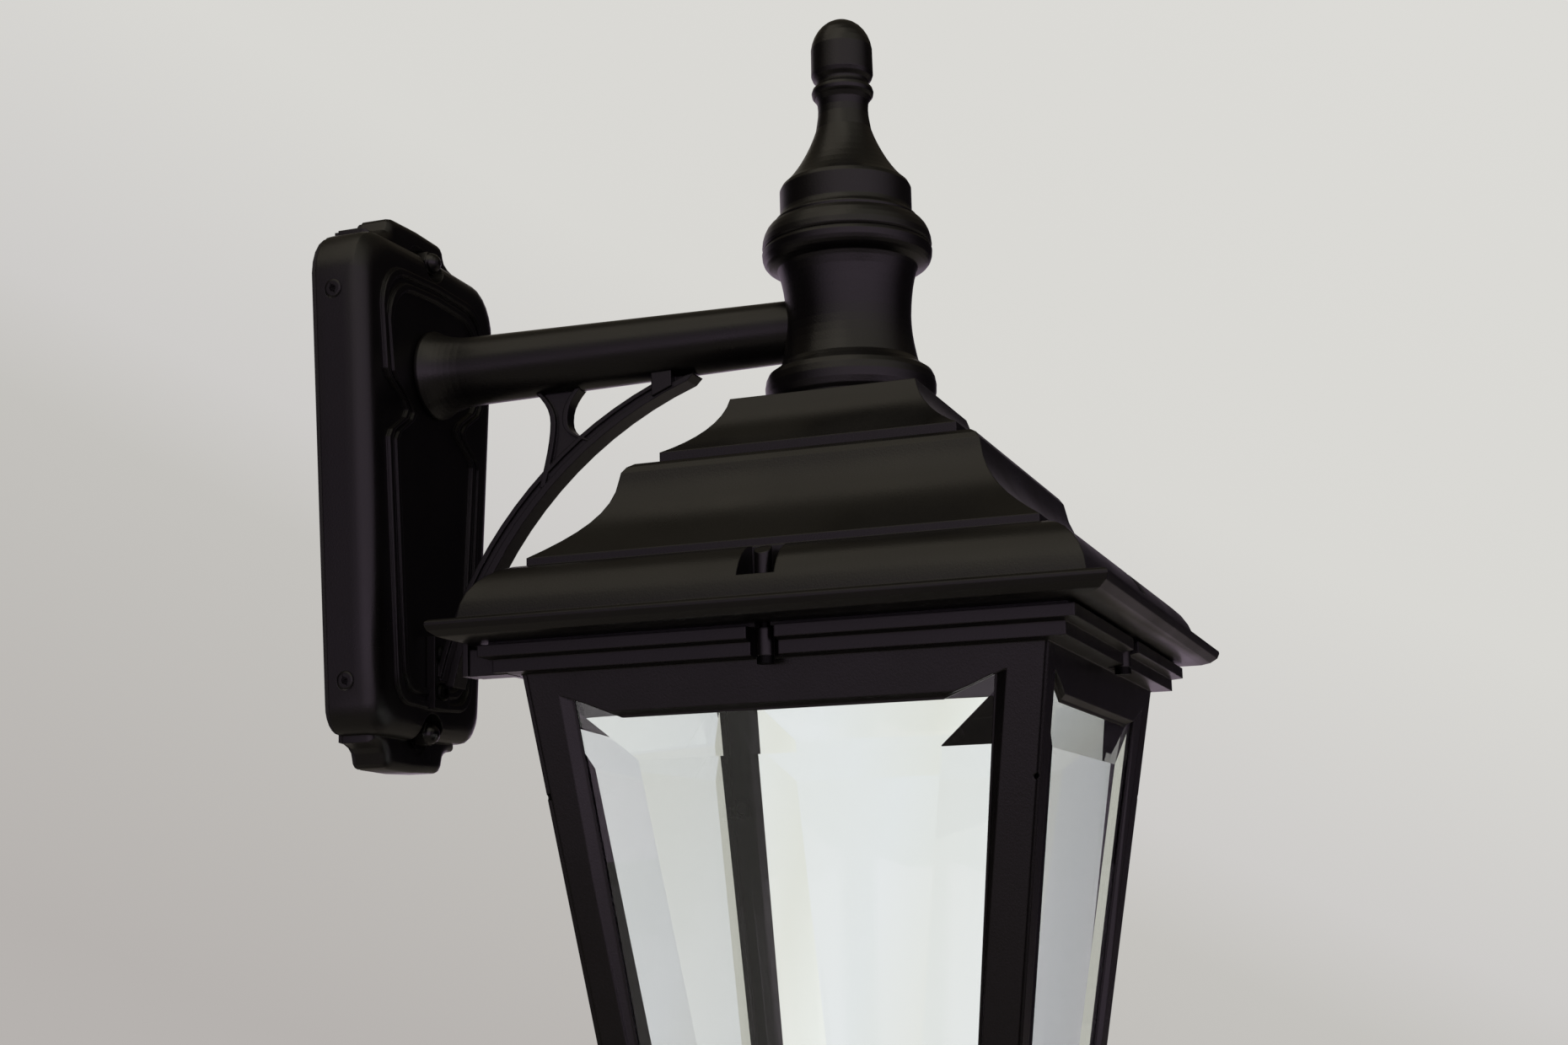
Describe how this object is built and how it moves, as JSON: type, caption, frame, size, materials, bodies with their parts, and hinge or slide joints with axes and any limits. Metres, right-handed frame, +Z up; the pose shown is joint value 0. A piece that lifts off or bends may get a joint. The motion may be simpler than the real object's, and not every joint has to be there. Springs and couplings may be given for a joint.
{
  "type": "outdoor wall light",
  "caption": "Square tapered wall lantern with a stepped hollow roof, turned neck and finial, hung from a level arm with a curved brace on a tall tapered wall plate.",
  "frame": {"origin": "centre of the wall plate's back, on the wall's surface", "axes": "+Y into the wall, so the light reaches out along -Y; +Z up; +X to the right as seen from in front"},
  "size_m": [0.24, 0.33, 0.4755],
  "materials": {
    "black_casting": "satin black powder coat on die-cast aluminium",
    "zinc_steel": "zinc plated",
    "black_rubber": "matt",
    "clear_glass": "clear, bevelled",
    "white_ceramic": "glazed",
    "brass": "drawn",
    "ivory_plastic": "moulded",
    "lead_sheath": "silicone sheath"
  },
  "bodies": {
    "root": {"wall_bracket": "zinc_steel", "cover_studs": "zinc_steel", "wall_gasket": "black_rubber", "wall_plate": "black_casting", "cover_washers": "black_casting", "dome_nuts": "black_casting", "side_plugs": "black_casting", "arm": "black_casting", "arm_washer": "zinc_steel", "arm_nut": "zinc_steel", "brace": "black_casting", "brace_screws": "zinc_steel", "neck": "black_casting", "grub_screw": "zinc_steel", "neck_gasket": "black_rubber", "finial": "black_casting", "finial_stud": "zinc_steel", "roof": "black_casting", "roof_seal": "black_rubber", "neck_screws": "zinc_steel", "roof_screws": "zinc_steel", "lantern_frame": "black_casting", "pane_front": "clear_glass", "pane_rear": "clear_glass", "pane_left": "clear_glass", "pane_right": "clear_glass", "glass_clips": "zinc_steel", "clip_screws": "zinc_steel", "base_pan": "black_casting", "base_screws": "zinc_steel", "holder_bracket": "zinc_steel", "holder_nipple": "zinc_steel", "nipple_nuts": "zinc_steel", "lampholder": "white_ceramic", "lamp_shell": "brass", "lamp_contact": "brass", "terminal_block": "ivory_plastic", "terminal_screws": "zinc_steel", "earth_screw": "brass", "inner_lead": "lead_sheath"}
  },
  "joints": []
}
